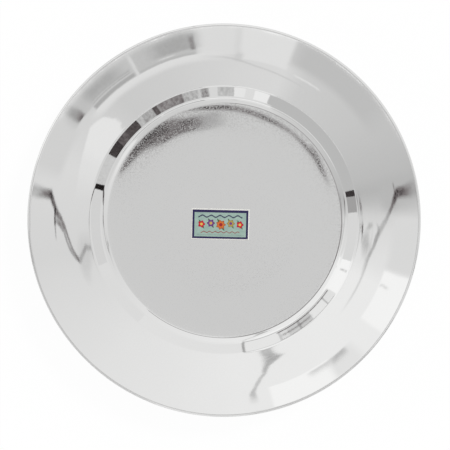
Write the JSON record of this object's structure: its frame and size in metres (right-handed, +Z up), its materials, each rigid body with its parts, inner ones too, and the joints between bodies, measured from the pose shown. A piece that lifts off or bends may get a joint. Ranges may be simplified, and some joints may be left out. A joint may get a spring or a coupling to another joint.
{
  "type": "thali plate",
  "caption": "Round polished steel plate with a satin floor, a short wall, a wide upturned rim, a rolled edge and a small paper label on its floor.",
  "frame": {"origin": "the middle of the flat face that the plate stands on, on the plate's own axis", "axes": "+Z is up along the plate's axis, out of its open side, +X is to the right along the label and +Y is towards the label's upper edge"},
  "size_m": [0.28, 0.28, 0.028],
  "materials": {
    "polished_steel": "polished",
    "adhesive_film": "gloss",
    "printed_paper": "satin"
  },
  "bodies": {
    "root": {"plate_sheet": "polished_steel", "label_adhesive": "adhesive_film", "label_paper": "printed_paper"}
  },
  "joints": []
}
